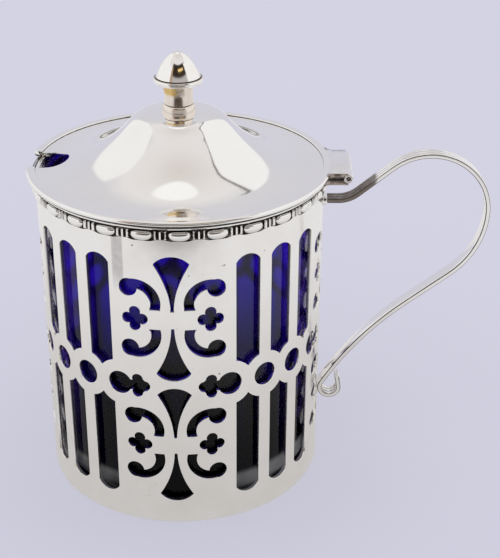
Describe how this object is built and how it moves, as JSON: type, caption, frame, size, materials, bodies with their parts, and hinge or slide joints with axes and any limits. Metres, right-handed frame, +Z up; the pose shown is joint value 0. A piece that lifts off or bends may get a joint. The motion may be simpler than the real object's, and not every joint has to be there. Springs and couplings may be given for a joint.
{
  "type": "mustard pot",
  "caption": "Silver mustard pot: a straight pierced drum with a blue glass liner, an ogee lid with a spoon notch and a turned finial, hinged over a looped strap handle.",
  "frame": {"origin": "middle of the base, on the table", "axes": "+Z up, +X from the drum's middle to the hinge and the handle; the spoon notch is at -X"},
  "size_m": [0.0917, 0.0602, 0.089],
  "materials": {
    "body_silver": "polished silver with soft wear",
    "lid_silver": "polished silver with fine scratches",
    "finial_silver": "polished silver, warm tarnish in the hollows",
    "handle_silver": "polished silver, dark in the grooves",
    "pin_silver": "dull silver",
    "cobalt_glass": "clear cobalt-blue glass"
  },
  "bodies": {
    "pot": {"pierced_drum": "body_silver", "base_plate": "body_silver", "rim_border": "body_silver", "body_hinge_leaf": "body_silver", "body_knuckle_front": "body_silver", "body_knuckle_back": "body_silver", "hinge_pin": "pin_silver", "handle_pad": "handle_silver", "handle_strap": "handle_silver"},
    "lid": {"lid_plate": "lid_silver", "lid_rim": "lid_silver", "finial": "finial_silver", "finial_nut": "finial_silver", "lid_hinge_leaf": "lid_silver", "lid_knuckle": "lid_silver"},
    "liner": {"glass_liner": "cobalt_glass"}
  },
  "joints": [
    {"name": "lid_hinge", "type": "hinge", "parent": "pot", "child": "lid", "pos_m": [0.033, 0, 0.06565], "axis": [0, 1, 0], "range_deg": [0, 105]},
    {"name": "liner_lift", "type": "slide", "parent": "pot", "child": "liner", "axis": [0, 0, 1], "range_m": [0, 0.0012]}
  ]
}
